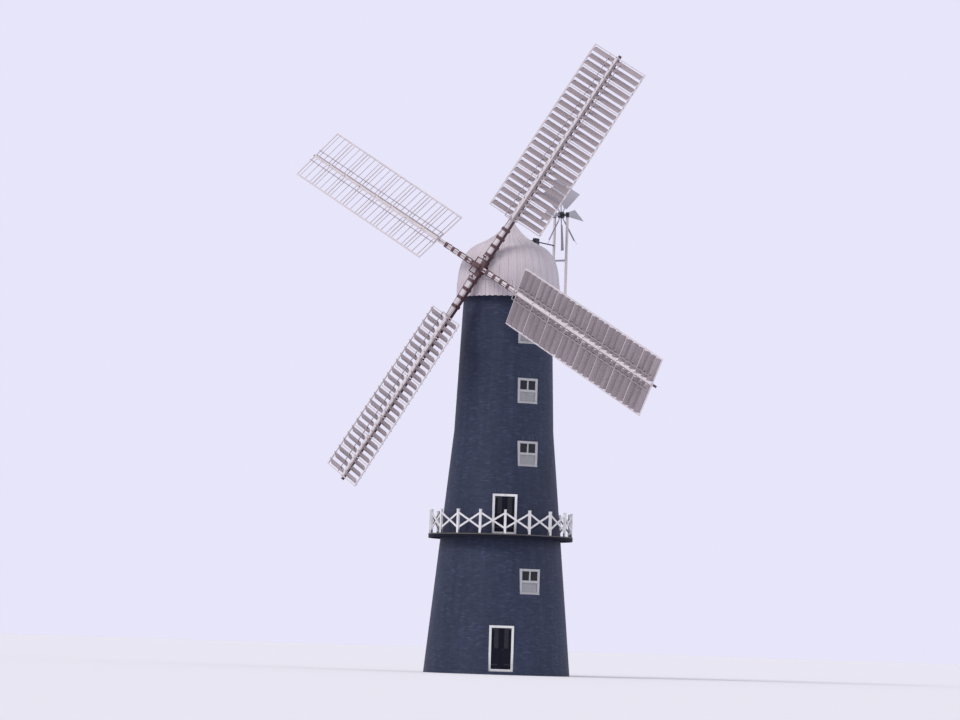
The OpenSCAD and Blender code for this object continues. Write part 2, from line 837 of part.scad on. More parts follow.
// Puts a piece in the frame of sail k: X along the stock, Z forward from its front face
module on_sail(k) {
    on_shaft()
        rotate([0, 0, sail_turn + 90 * k])
        translate([0, 0, sail_plane[k % 2]])
        children();
}

// Iron bands round stock and whip between the hub and the first bar
module stock_clamps() {
    color([0.32, 0.16, 0.19])
    for (k = [0:3])
        on_sail(k)
        for (i = [0:clamps - 1]) {
            r = clamp_start + i * clamp_pitch;
            side = spine_half(r - clamp_w / 2);
            deep = 2 * stock_half(r - clamp_w / 2).y;
            difference() {
                translate([r - clamp_w / 2, -side - clamp_t, -deep - clamp_t])
                    cube([clamp_w, 2 * (side + clamp_t), deep + whip_d + 2 * clamp_t]);
                translate([r - clamp_w, -side - seat_gap, -deep - seat_gap])
                    cube([2 * clamp_w, 2 * (side + seat_gap), deep + whip_d + 2 * seat_gap]);
            }
        }
}

// Point at distance r from the hub, b along the bars and f square to them
function sail_point(r, b, f) =
    let(d = bar_dir(r), m = d / norm(d))
    [r, b * m.x - f * m.y, bar_rise + b * m.y + f * m.x];

// Bars and edge rails of one sail
module lattice() {
    for (i = [0:bays]) {
        r = heel_r + i * bay_l;
        reach = norm(bar_dir(r));
        bar(sail_point(r, -trail_w * reach, 0), sail_point(r, lead_w * reach, 0), bar_w, bar_t);
    }
    for (side = [lead_w, -trail_w])
        bar(sail_point(heel_r - bar_w / 2, side, 0), sail_point(sail_r + bar_w / 2, side, 0),
            rail_w, rail_t, mid_weather);
}

module whip(grow) {
    start = whip_half(whip_start) + grow;
    tip = whip_half(sail_r) + grow;
    translate([0, 0, -grow])
        linear_extrude(whip_d + 2 * grow)
        polygon([[whip_start, -start], [sail_r + bar_w, -tip],
                 [sail_r + bar_w, tip], [whip_start, start]]);
}

// Each sail has a whip along its stock, and bars that are let into both sides of the whip
module sail_frames() {
    color([0.85, 0.82, 0.84])
    for (k = [0:3])
        on_sail(k) {
            whip(0);
            difference() {
                lattice();
                whip(seat_gap);
            }
        }
}

// One shutter between the whip and an edge rail, turned open about its pivot pins
module shutter(r, side, width) {
    lean = abs(bar_angle(r) - mid_weather);
    inner = (whip_half(r) + seat_gap + pin_r * sin(bar_angle(r))) / cos(bar_angle(r));
    outer = width * norm(bar_dir(r)) - (rail_w / 2 + seat_gap + pin_r * sin(lean)) / cos(lean);
    back = side < 0 ? chord / 2 * sin(shutter_open) * sin(bar_angle(r)) : 0;
    near = (spine_half(r) + shutter_gap + back) / cos(bar_angle(r));
    far = outer - shutter_gap;
    translate([r, 0, bar_rise])
        rotate([bar_angle(r), 0, 0]) {
            translate([0, side * inner, 0])
                rotate([-90 * side, 0, 0]) cylinder(r = pin_r, h = outer - inner, $fn = 24);
            rotate([0, shutter_open, 0])
                translate([-chord / 2, side > 0 ? near : -far, -shutter_t / 2])
                cube([chord, far - near, shutter_t]);
        }
}

// The shutters of one sail lie between its bars, as many in each bay
module shutters(k) {
    color([0.72, 0.7, 0.72])
    on_sail(k)
    for (i = [0:bays - 1])
        for (j = [0:bay_shutters - 1]) {
            r = heel_r + i * bay_l + bar_w / 2 + (j + 0.5) * shutter_pitch;
            shutter(r, 1, lead_w);
            shutter(r, -1, trail_w);
        }
}
module shutters_one() { shutters(0); }
module shutters_two() { shutters(1); }
module shutters_three() { shutters(2); }
module shutters_four() { shutters(3); }

// Two light bars on each sail link the front edges of its shutters, and a yoke joins them
module shutter_bars() {
    color([0.88, 0.86, 0.88])
    for (k = [0:3])
        on_sail(k)
        difference() {
            union() {
                for (side = [-1, 1])
                    bar(sail_point(yoke_r, side * link_x, link_front),
                        sail_point(sail_r - bar_w, side * link_x, link_front), link_w, link_w,
                        mid_weather);
                bar(sail_point(yoke_r, -link_x - link_w / 2, link_front),
                    sail_point(yoke_r, link_x + link_w / 2, link_front), link_w, link_w);
                uplong_at(uplong_l - link_w) cylinder(r = yoke_eye_r, h = 2 * link_w);
            }
            uplong_at(0) cylinder(r = uplong_r + seat_gap, h = 2 * uplong_l);
        }
}

// Flat piece of thickness t in the plane of a stock and the shaft, at x across the stock
module flat(x, t) {
    translate([0, x + t / 2, 0]) rotate([90, 0, 0]) linear_extrude(t) children();
}

// Straight arm with round ends from the origin to p
module arm_shape(p) {
    circle(d = crank_w);
    translate(p) circle(d = crank_w);
    rotate(atan2(p.y, p.x)) translate([0, -crank_w / 2]) square([norm(p), crank_w]);
}

// A pin across a stock's plane, from the far side of a crank to the outer face beside it
module gear_pin(p, side) {
    reach = crank_t / 2 + cheek_play + cheek_t;
    translate([p.x, -reach, p.y])
        rotate([-90, 0, 0])
        translate([0, 0, side > 0 ? cheek_play + cheek_t - seat_gap : 0])
        cylinder(r = gear_pin_r, h = 2 * reach - cheek_play - cheek_t + seat_gap);
}

// The rods run from the cranks' outer ends to the yokes of the shutter bars
module uplong_at(d) {
    translate(crank_end)
        rotate([0, 90 - atan2(uplong_way.z, uplong_way.x), 0])
        translate([0, 0, d])
        children();
}

// Rod out of the canister with a four-armed spider; a link from each arm works a crank
module spider() {
    color([0.3, 0.18, 0.2]) {
        on_shaft()
        rotate([0, 0, sail_turn])
        difference() {
            union() {
                translate([0, 0, shaft_back]) cylinder(r = rod_r, h = rod_l);
                translate([0, 0, spider_z - spider_t / 2]) {
                    cylinder(r = spider_hub_r, h = spider_t);
                    linear_extrude(spider_t)
                        for (k = [0:3])
                            rotate(90 * k)
                            polygon([[0, -spider_hub_r / 2],
                                     [spider_reach - crank_w, -crank_t / 2],
                                     [spider_reach + crank_w / 2, -crank_t / 2],
                                     [spider_reach + crank_w / 2, crank_t / 2],
                                     [spider_reach - crank_w, crank_t / 2],
                                     [0, spider_hub_r / 2]]);
                }
            }
            for (k = [0:3])
                rotate([0, 0, 90 * k])
                translate([spider_reach, -crank_t, spider_z])
                rotate([-90, 0, 0])
                cylinder(r = gear_pin_r + seat_gap, h = 2 * crank_t);
        }
        for (k = [0:3])
            on_sail(k) {
                crank();
                crank_bracket();
                spider_link([spider_reach, crank_z], spider_z - sail_plane[k % 2] - crank_z);
                uplong_rod();
            }
    }
}

// Bell crank with its pivot over the whip
module crank() {
    flat(0, crank_t)
    translate([pivot_r, crank_z])
    difference() {
        union() {
            arm_shape([-crank_in, 0]);
            arm_shape([0, crank_out]);
            polygon([[0, 0], [-crank_in / 2, 0], [0, crank_out / 2]]);
        }
        for (p = [[0, 0], [-crank_in, 0], [0, crank_out]])
            translate(p) circle(r = gear_pin_r + seat_gap);
    }
}

// Two cheeks on the whip with the crank's pivot pin between them
module crank_bracket() {
    apart = crank_t / 2 + cheek_play + cheek_t / 2;
    for (side = [-1, 1])
        flat(side * apart, cheek_t)
        translate([pivot_r, whip_d]) {
            translate([-crank_w / 2, 0]) square([crank_w, pivot_rise]);
            translate([0, pivot_rise]) circle(d = crank_w);
            translate([-crank_w, 0]) square([2 * crank_w, cheek_t]);
        }
    translate([pivot_r - crank_w, -apart, whip_d]) cube([2 * crank_w, 2 * apart, cheek_t]);
    translate([pivot_r, -apart, crank_z]) rotate([-90, 0, 0]) cylinder(r = gear_pin_r, h = 2 * apart);
}

// Flat link of length l beside a crank's inner end, with a pin at either end
module spider_link(p, l) {
    flat(crank_t / 2 + cheek_play + cheek_t / 2, cheek_t) translate(p) arm_shape([0, l]);
    gear_pin(p, 1);
    gear_pin(p + [0, l], 1);
}

// Rod with a flat eye beside the crank's outer end
module uplong_rod() {
    flat(crank_end.y, cheek_t)
        translate([crank_end.x, crank_end.z])
        rotate(atan2(uplong_way.z, uplong_way.x))
        arm_shape([crank_w, 0]);
    gear_pin([crank_end.x, crank_end.z], -1);
    uplong_at(crank_w) cylinder(r = uplong_r, h = uplong_l - crank_w + 2 * link_w);
}

module on_fan(i) {
    translate([0, fan_y, fan_z]) rotate([fan_turn + i * 360 / blades, 0, 0]) children();
}

// Axle, hub and the arms of the fantail
module fan_wheel() {
    axle_l = 2 * (sheer_x + axle_over) + fan_post_w;
    color([0.3, 0.3, 0.33])
    translate([0, fan_y, fan_z]) rotate([0, 90, 0]) {
        translate([0, 0, -axle_l / 2]) cylinder(r = axle_r, h = axle_l);
        translate([0, 0, -fan_hub_l / 2]) cylinder(r = fan_hub_r, h = fan_hub_l);
    }
    color([0.8, 0.8, 0.83])
    for (i = [0:blades - 1])
        on_fan(i)
        rotate([0, -blade_pitch, 0])
        translate([-arm_t / 2, 0, -arm_t / 2]) cube([arm_t, fan_r, arm_t]);
}

// Boards on the arms, widening to the tip and slanted like a propeller
module fan_blades() {
    color([0.84, 0.84, 0.87])
    for (i = [0:blades - 1])
        on_fan(i)
        rotate([0, -blade_pitch, 0])
        translate([arm_t / 2, 0, 0])
        rotate([0, 90, 0])
        linear_extrude(blade_t)
        polygon([[-blade_root_w / 2, blade_start], [blade_root_w / 2, blade_start],
                 [blade_tip_w / 2, fan_r], [-blade_tip_w / 2, fan_r]]);
}

ground_slab();
ground_storey();
first_storey();
stage_storey();
third_storey();
fourth_storey();
top_storey();
floors();
window_frames();
window_glass();
window_panels();
door_frames();
door_leaves();
gallery_joists();
gallery_edge();
gallery_deck();
gallery_posts();
gallery_braces();
curb();
cap_ring();
sheers();
shaft_beams();
shaft_bearings();
cap_skirt();
cap_roof();
finial();
fan_stage();
fan_posts();
fan_crossbar();
fan_rail();
fan_bearings();
windshaft();
canister();
stock_one();
stock_two();
stock_clamps();
sail_frames();
shutters_one();
shutters_two();
shutters_three();
shutters_four();
shutter_bars();
spider();
fan_wheel();
fan_blades();
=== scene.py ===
import json
import math
import random

import bpy
from mathutils import Matrix, Vector


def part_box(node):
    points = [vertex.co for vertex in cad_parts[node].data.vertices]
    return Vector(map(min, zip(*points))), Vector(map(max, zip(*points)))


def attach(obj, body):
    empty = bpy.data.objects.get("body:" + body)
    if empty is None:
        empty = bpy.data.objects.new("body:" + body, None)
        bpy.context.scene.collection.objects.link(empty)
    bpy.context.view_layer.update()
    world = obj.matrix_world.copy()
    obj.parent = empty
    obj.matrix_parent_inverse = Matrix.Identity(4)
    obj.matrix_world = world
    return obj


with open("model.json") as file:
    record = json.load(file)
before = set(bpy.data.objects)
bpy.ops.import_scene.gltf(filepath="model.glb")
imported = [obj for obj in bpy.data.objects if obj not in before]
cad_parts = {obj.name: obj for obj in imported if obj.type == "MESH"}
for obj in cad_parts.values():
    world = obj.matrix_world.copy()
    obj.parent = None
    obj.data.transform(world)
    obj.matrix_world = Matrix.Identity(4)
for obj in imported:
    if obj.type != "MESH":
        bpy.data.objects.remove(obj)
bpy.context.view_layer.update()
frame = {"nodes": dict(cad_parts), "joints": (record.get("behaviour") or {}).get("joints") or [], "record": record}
NODES = frame["nodes"]
SLOTS = {part["node"]: part["material_slot"] for part in frame["record"]["subparts"]}
JOINT_AT = {joint["name"]: Vector(joint["pos_m"]) for joint in frame["joints"]}
random.seed(7)

# Sizes in metres and degrees, as in the part's own source

# Tower
BASE_R = 3.49
BEND_Z = 11.6
BEND_R = 2.37
TOWER_TOP = 18.0
TOP_R = 2.12
SLAB_T = 0.15
FIRST_FLOOR = 3.3
STAGE = 6.6
THIRD_FLOOR = 9.35
FOURTH_FLOOR = 12.35
FIFTH_FLOOR = 15.2

# Windows and doors
OPPOSITE = (0, 180)
WINDOW_AZ = 59
WINDOW_W = 1.05
WINDOW_H = 1.2
WINDOW_RISE = 1.1
DOOR_AZ = 34
DOOR_W = 1.16
GROUND_DOOR_H = 2.15
STAGE_DOOR_H = 1.9
FRAME_BAR = 0.11
FRAME_D = 0.15
FRAME_PROUD = 0.03

# Gallery
DECK_W = 0.6
POSTS = 18
POST_AZ = 34
POST_W = 0.11
POST_INSET = 0.07

# Cap
SKIRT_R = 2.46
SKIRT_Z = 17.95
ROOF_Z = 18.65
SHOULDER_RISE = 1.92
SHOULDER_R = 1.5
TIP_RISE = 3.2
TIP_R = 0.09
ROOF_CLEAR = 0.08

# Shaft and sails
NECK_R = 0.18
SHAFT_TILT = 12
CANISTER_L = 0.42
SAILS = 4
SAIL_TURN = 59.9
SAIL_R = 11.87
HEEL_R = 2.79
HEEL_WEATHER = 22.6
TIP_WEATHER = 19.2
STOCK_L = 12.03
STOCK_D = 0.22
STOCK_W = 0.22
STOCK_TIP_W = 0.11
WEB_T = 0.02
WHIP_START = 0.45
WHIP_D = 0.13
WHIP_W = 0.2
WHIP_TIP_W = 0.12
BAYS = 8
BAR_RISE = 0.066
BAR_W = 0.045
BAY_SHUTTERS = 3
SHUTTER_GAP = 0.014
SHUTTER_PLAY = 0.014
SHUTTER_T = 0.014
SHUTTER_OPEN = 48
LINK_X = 0.33

BAY = (SAIL_R - HEEL_R) / BAYS
SHUTTER_PITCH = (BAY - BAR_W) / BAY_SHUTTERS
SHUTTER_REACH = (SHUTTER_PITCH - SHUTTER_PLAY) / 2


# Camera, light and floor

CAMERA_AWAY = 180.0
CAMERA_AZ = 30.7
CAMERA_Z = 1.3
CAMERA_ROLL = 1.83
AIM_Z = 15.0
AIM_LEFT = 1.25
LENS = 141.0
SENSOR_W = 36
CLIP_START = 1
CLIP_END = 2000

SKY_LIGHT = (0.86, 0.88, 0.95)
SKY_STRENGTH = 0.62
PALE_SKY = (0.8, 0.785, 0.95)
FLOOR_COLOUR = (0.87, 0.86, 0.92)
FLOOR_HALF = 1500
FLOOR_DROP = 0.005


def make_camera():
    az = math.radians(CAMERA_AZ)
    right = Vector((math.cos(az), math.sin(az), 0))
    place = Vector((math.sin(az), -math.cos(az), 0)) * CAMERA_AWAY + Vector((0, 0, CAMERA_Z))
    aim = Vector((0, 0, AIM_Z)) - right * AIM_LEFT
    camera = bpy.data.objects.new("camera", bpy.data.cameras.new("camera"))
    camera.data.lens = LENS
    camera.data.sensor_width = SENSOR_W
    camera.data.clip_start = CLIP_START
    camera.data.clip_end = CLIP_END
    camera.location = place
    look = (aim - place).to_track_quat("-Z", "Y").to_matrix()
    roll = Matrix.Rotation(math.radians(CAMERA_ROLL), 3, "Z")
    camera.rotation_euler = (look @ roll).to_euler()
    bpy.context.scene.collection.objects.link(camera)
    bpy.context.scene.camera = camera


def make_world():
    """Even light from all round, and a pale backdrop for the camera, gloss and glass."""
    world = bpy.data.worlds.new("studio")
    world.use_nodes = True
    nodes, links = world.node_tree.nodes, world.node_tree.links
    light = nodes["Background"]
    light.inputs["Color"].default_value = (*SKY_LIGHT, 1)
    light.inputs["Strength"].default_value = SKY_STRENGTH
    backdrop = nodes.new("ShaderNodeBackground")
    backdrop.inputs["Color"].default_value = (*PALE_SKY, 1)
    backdrop.inputs["Strength"].default_value = 1
    ray = nodes.new("ShaderNodeLightPath")
    sees_backdrop = ray.outputs["Is Camera Ray"]
    for kind in ("Is Glossy Ray", "Is Transmission Ray"):
        either = nodes.new("ShaderNodeMath")
        either.operation = "MAXIMUM"
        links.new(sees_backdrop, either.inputs[0])
        links.new(ray.outputs[kind], either.inputs[1])
        sees_backdrop = either.outputs[0]
    mix = nodes.new("ShaderNodeMixShader")
    links.new(sees_backdrop, mix.inputs["Fac"])
    links.new(light.outputs[0], mix.inputs[1])
    links.new(backdrop.outputs[0], mix.inputs[2])
    links.new(mix.outputs[0], nodes["World Output"].inputs["Surface"])
    bpy.context.scene.world = world


def make_sun(name, azimuth, elevation, strength, spread, colour):
    """A soft lamp that shines from -Y at azimuth 0 and from +X at azimuth 90."""
    az, el = math.radians(azimuth), math.radians(elevation)
    light = bpy.data.lights.new(name, "SUN")
    light.energy = strength
    light.angle = math.radians(spread)
    light.color = colour
    sun = bpy.data.objects.new(name, light)
    towards = Vector((math.sin(az) * math.cos(el), -math.cos(az) * math.cos(el), math.sin(el)))
    sun.rotation_euler = towards.to_track_quat("Z", "Y").to_euler()
    bpy.context.scene.collection.objects.link(sun)


def make_floor():
    finish = Finish("floor", roughness=0.9, gloss=0.1)
    finish.shader.inputs["Base Color"].default_value = (*FLOOR_COLOUR, 1)
    mesh = bpy.data.meshes.new("floor")
    corners = [(x * FLOOR_HALF, y * FLOOR_HALF, 0) for x, y in ((-1, -1), (1, -1), (1, 1), (-1, 1))]
    mesh.from_pydata(corners, [], [(0, 1, 2, 3)])
    mesh.materials.append(finish.material)
    floor = bpy.data.objects.new("floor", mesh)
    floor.location.z = -FLOOR_DROP
    bpy.context.scene.collection.objects.link(floor)


# Materials

# A mix node repeats its sockets' names for each kind of value: these are the colour's
COLOUR_A = 6
COLOUR_B = 7
COLOUR_OUT = 2


class Finish:
    """A material under way, whose methods add nodes and give back the socket to go on from."""

    def __init__(self, name, roughness, gloss=0.5):
        self.material = bpy.data.materials.new(name)
        self.material.use_nodes = True
        self.nodes = self.material.node_tree.nodes
        self.links = self.material.node_tree.links
        self.shader = self.nodes["Principled BSDF"]
        self.shader.inputs["Roughness"].default_value = roughness
        self.shader.inputs["Specular IOR Level"].default_value = gloss

    def feed(self, socket, source):
        """Sets a socket to a number or a colour, or links it to another socket."""
        if isinstance(source, (int, float)):
            socket.default_value = source
        elif isinstance(source, tuple):
            socket.default_value = (*source, 1)
        else:
            self.links.new(source, socket)

    def point(self):
        """The place on the object, in metres."""
        return self.nodes.new("ShaderNodeTexCoord").outputs["Object"]

    def mapped(self, stretch, move=(0, 0, 0)):
        """The place on the object, each axis multiplied by stretch and then moved."""
        mapping = self.nodes.new("ShaderNodeMapping")
        mapping.inputs["Location"].default_value = move
        mapping.inputs["Scale"].default_value = stretch
        self.links.new(self.point(), mapping.inputs["Vector"])
        return mapping.outputs["Vector"]

    def noise(self, scale, detail, stretch=(1, 1, 1), rough=0.6):
        """Noise from 0 to 1."""
        node = self.nodes.new("ShaderNodeTexNoise")
        node.inputs["Scale"].default_value = scale
        node.inputs["Detail"].default_value = detail
        node.inputs["Roughness"].default_value = rough
        self.links.new(self.mapped(stretch), node.inputs["Vector"])
        return node.outputs["Fac"]

    def maths(self, kind, *sources):
        node = self.nodes.new("ShaderNodeMath")
        node.operation = kind
        for socket, source in zip(node.inputs, sources):
            self.feed(socket, source)
        return node.outputs[0]

    def ramp(self, source, *stops):
        """Colours between the stops, each of them (place, (r, g, b))."""
        node = self.nodes.new("ShaderNodeValToRGB")
        while len(node.color_ramp.elements) < len(stops):
            node.color_ramp.elements.new(0.5)
        for element, (place, colour) in zip(node.color_ramp.elements, stops):
            element.position = place
            element.color = (*colour, 1)
        self.links.new(source, node.inputs["Fac"])
        return node.outputs["Color"]

    def mix(self, kind, factor, a, b):
        node = self.nodes.new("ShaderNodeMix")
        node.data_type = "RGBA"
        node.blend_type = kind
        self.feed(node.inputs["Factor"], factor)
        self.feed(node.inputs[COLOUR_A], a)
        self.feed(node.inputs[COLOUR_B], b)
        return node.outputs[COLOUR_OUT]

    def by_island(self, tone, *stops):
        """The tone times a colour between the stops that differs from solid to solid."""
        geometry = self.nodes.new("ShaderNodeNewGeometry")
        each = self.ramp(geometry.outputs["Random Per Island"], *stops)
        return self.mix("MULTIPLY", 1.0, tone, each)

    def bump(self, height, strength, distance):
        """Makes the surface uneven where the height, from 0 to 1, changes."""
        node = self.nodes.new("ShaderNodeBump")
        node.inputs["Strength"].default_value = strength
        node.inputs["Distance"].default_value = distance
        self.links.new(height, node.inputs["Height"])
        self.links.new(node.outputs["Normal"], self.shader.inputs["Normal"])

    def done(self, tone):
        """Gives the surface its colour and gives back the whole material."""
        self.links.new(tone, self.shader.inputs["Base Color"])
        return self.material


def grey(value):
    return (value, value, value)


def shade(colour, factor):
    return tuple(min(1.0, c * factor) for c in colour)


def painted(name, colour, dirt, roughness=0.55, grain=(1, 1, 0.12), wear=0.5, islands=0.0,
            gloss=0.35):
    """Weathered paint on wood: broad fading, streaks along the grain and dirt in patches."""
    finish = Finish(name, roughness, gloss)
    broad = finish.noise(scale=1.1, detail=3, stretch=(1, 1, 0.5))
    streak = finish.noise(scale=26, detail=5, stretch=grain)
    patch = finish.noise(scale=5.5, detail=6, stretch=(1, 1, 0.6), rough=0.7)
    base = finish.ramp(broad, (0.3, shade(colour, 0.9)), (0.7, shade(colour, 1.05)))
    lines = finish.ramp(streak, (0.35, shade(colour, 0.72)), (0.55, colour))
    tone = finish.mix("MIX", 0.35, base, lines)
    soiled = finish.ramp(patch, (0.5, grey(0)), (0.78, grey(wear)))
    tone = finish.mix("MIX", soiled, tone, dirt)
    if islands:
        tone = finish.by_island(tone, (0, grey(1 - islands)), (1, grey(1)))
    finish.bump(streak, strength=0.35, distance=0.004)
    return finish.done(tone)


# A little more than the radius of the fantail's hub
FAN_HUB_R = 0.17


def beyond_fan_hub(finish):
    """One on what lies outside the fantail's hub and nought on the hub and its axle."""
    hub = JOINT_AT["fan_turn"]
    length = finish.nodes.new("ShaderNodeVectorMath")
    length.operation = "LENGTH"
    from_axle = finish.mapped(stretch=(0, 1, 1), move=(0, -hub.y, -hub.z))
    finish.links.new(from_axle, length.inputs[0])
    return finish.maths("GREATER_THAN", length.outputs["Value"], FAN_HUB_R)


def painted_iron(name, colour, rust, arms=None):
    """Painted iron with rust in patches; arms is a colour for the fantail's arms."""
    finish = Finish(name, roughness=0.5)
    finish.shader.inputs["Metallic"].default_value = 0.1
    fine = finish.noise(scale=60, detail=3)
    patch = finish.noise(scale=7, detail=7, rough=0.75)
    base = finish.ramp(fine, (0.3, shade(colour, 0.85)), (0.7, shade(colour, 1.2)))
    rusty = finish.ramp(patch, (0.55, grey(0)), (0.72, grey(0.7)))
    tone = finish.mix("MIX", rusty, base, rust)
    if arms:
        paint = finish.ramp(fine, (0.3, shade(arms, 0.82)), (0.7, shade(arms, 1.05)))
        tone = finish.mix("MIX", beyond_fan_hub(finish), tone, paint)
    finish.bump(fine, strength=0.2, distance=0.002)
    return finish.done(tone)


def tarred_brick(name, colour, islands=False):
    """Tar on brick, worn in runs down the wall; with islands each brick has its own tone."""
    finish = Finish(name, roughness=0.62, gloss=0.3)
    broad = finish.noise(scale=0.5, detail=4, stretch=(1, 1, 0.35))
    fine = finish.noise(scale=70, detail=5)
    runs = finish.noise(scale=4, detail=5, stretch=(1, 1, 0.06))
    base = finish.ramp(broad, (0.3, shade(colour, 0.85)), (0.72, shade(colour, 1.2)))
    worn = finish.ramp(runs, (0.45, grey(0)), (0.8, grey(0.45)))
    tone = finish.mix("MIX", worn, base, shade(colour, 1.9))
    if islands:
        tone = finish.by_island(tone, (0, (0.72, 0.72, 0.74)), (0.9, (1.05, 1.03, 1.0)),
                                (1, (1.5, 1.35, 1.25)))
    finish.bump(fine, strength=0.5, distance=0.004)
    return finish.done(tone)


def boarded(name, colour, dirt, boards, joint_share):
    """Painted boards that run up a round form: a tone for each board and a line at each joint."""
    finish = Finish(name, roughness=0.5, gloss=0.35)
    split = finish.nodes.new("ShaderNodeSeparateXYZ")
    finish.links.new(finish.point(), split.inputs["Vector"])
    angle = finish.maths("ARCTAN2", split.outputs["Y"], split.outputs["X"])
    turned = finish.maths("ADD", angle, math.pi)
    place = finish.maths("MULTIPLY", turned, boards / (2 * math.pi))
    chance = finish.nodes.new("ShaderNodeTexWhiteNoise")
    chance.noise_dimensions = "1D"
    finish.links.new(finish.maths("FLOOR", place), chance.inputs["W"])
    from_middle = finish.maths("SUBTRACT", finish.maths("FRACT", place), 0.5)
    joint = finish.maths("GREATER_THAN", finish.maths("ABSOLUTE", from_middle), 0.5 - joint_share)
    each = finish.ramp(chance.outputs["Value"], (0, shade(colour, 0.93)), (1, shade(colour, 1.03)))
    streak = finish.noise(scale=16, detail=5, stretch=(1, 1, 0.1))
    faded = finish.ramp(streak, (0.35, shade(colour, 0.86)), (0.6, colour))
    tone = finish.mix("MIX", 0.4, each, faded)
    patch = finish.noise(scale=3.2, detail=6, stretch=(1, 1, 0.5), rough=0.7)
    soiled = finish.ramp(patch, (0.5, grey(0)), (0.85, grey(0.3)))
    tone = finish.mix("MIX", soiled, tone, dirt)
    tone = finish.mix("MIX", joint, tone, shade(colour, 0.45))
    finish.bump(finish.maths("SUBTRACT", 1.0, joint), strength=0.6, distance=0.006)
    return finish.done(tone)


def glazing(name, dark, light):
    finish = Finish(name, roughness=0.06, gloss=0.35)
    waves = finish.noise(scale=6, detail=1)
    finish.bump(waves, strength=0.05, distance=0.01)
    return finish.done(finish.ramp(waves, (0.3, dark), (0.7, light)))


WHITE = (0.78, 0.77, 0.8)
SAIL_WHITE = (0.71, 0.65, 0.69)
CAP_WHITE = (0.62, 0.55, 0.605)
WINDOW_WHITE = (0.47, 0.47, 0.505)
SHUTTER = (0.435, 0.37, 0.402)
FAN_GREY = (0.44, 0.42, 0.485)
TAR = (0.0262, 0.0348, 0.0732)
MAROON = (0.085, 0.035, 0.045)
BLACK = (0.011, 0.012, 0.022)
GREY_WOOD = (0.13, 0.12, 0.12)
BARE_WOOD = (0.34, 0.24, 0.17)
STONE = (0.3, 0.29, 0.28)
STONE_DIRT = (0.12, 0.11, 0.1)
GRIME = (0.3, 0.28, 0.27)
RED_RUST = (0.1, 0.035, 0.02)
DARK_RUST = (0.07, 0.035, 0.02)
GLASS_DARK = (0.006, 0.008, 0.012)
GLASS_LIGHT = (0.012, 0.015, 0.02)

# Grains that are the same every way, for pieces that don't all stand upright
FINE = (1, 1, 1)
COARSE = (0.6, 0.6, 0.6)
COARSER = (0.5, 0.5, 0.5)

MATERIALS = {
    "brick": tarred_brick("tarred_brick", TAR, islands=True),
    "mortar": tarred_brick("tarred_mortar", shade(TAR, 0.75)),
    "white_wood": painted("white_paint", WHITE, GRIME),
    "window_wood": painted("window_paint", WINDOW_WHITE, GRIME),
    "sail_wood": painted("sail_paint", SAIL_WHITE, GRIME, grain=COARSER, islands=0.08),
    "shutter_boards": painted("shutter_paint", SHUTTER, GRIME, grain=COARSE, wear=0.35,
                              islands=0.16),
    "fan_wood": painted("fan_paint", FAN_GREY, GRIME, grain=COARSE, islands=0.12),
    "cap_boards": boarded("cap_paint", CAP_WHITE, GRIME, boards=72, joint_share=0.03),
    "dark_wood": painted("dark_paint", BLACK, shade(BLACK, 1.6), roughness=0.6, gloss=0.05),
    "deck_wood": painted("deck_boards", GREY_WOOD, shade(GREY_WOOD, 0.5), roughness=0.75,
                         grain=FINE, islands=0.3),
    "bare_wood": painted("sawn_timber", BARE_WOOD, shade(BARE_WOOD, 0.5), roughness=0.75,
                         grain=FINE),
    "red_wood": painted("maroon_paint", MAROON, shade(MAROON, 0.5), roughness=0.5, grain=FINE,
                        wear=0.4),
    "red_iron": painted_iron("maroon_iron", MAROON, RED_RUST),
    "dark_iron": painted_iron("black_iron", BLACK, DARK_RUST),
    "fan_iron": painted_iron("fan_iron", BLACK, DARK_RUST, arms=FAN_GREY),
    "glass": glazing("dark_glass", GLASS_DARK, GLASS_LIGHT),
    "slab": painted("slab_stone", STONE, STONE_DIRT, roughness=0.85, grain=FINE),
}

# The part's own nodes whose look isn't the one that their slot names
LOOKS = {
    "ground_storey": "mortar",
    "first_storey": "mortar",
    "stage_storey": "mortar",
    "third_storey": "mortar",
    "fourth_storey": "mortar",
    "top_storey": "mortar",
    "window_frames": "window_wood",
    "window_panels": "window_wood",
    "sail_frames": "sail_wood",
    "shutter_bars": "shutter_boards",
    "fan_posts": "sail_wood",
    "fan_crossbar": "fan_wood",
    "fan_blades": "fan_wood",
    "fan_wheel": "fan_iron",
}


def dress_nodes():
    for name, node in NODES.items():
        node.data.materials.clear()
        node.data.materials.append(MATERIALS[LOOKS.get(name, SLOTS[name])])


# Mesh building

BOX_FACES = [(0, 2, 3, 1), (4, 5, 7, 6), (0, 1, 5, 4), (2, 6, 7, 3), (0, 4, 6, 2), (1, 3, 7, 5)]


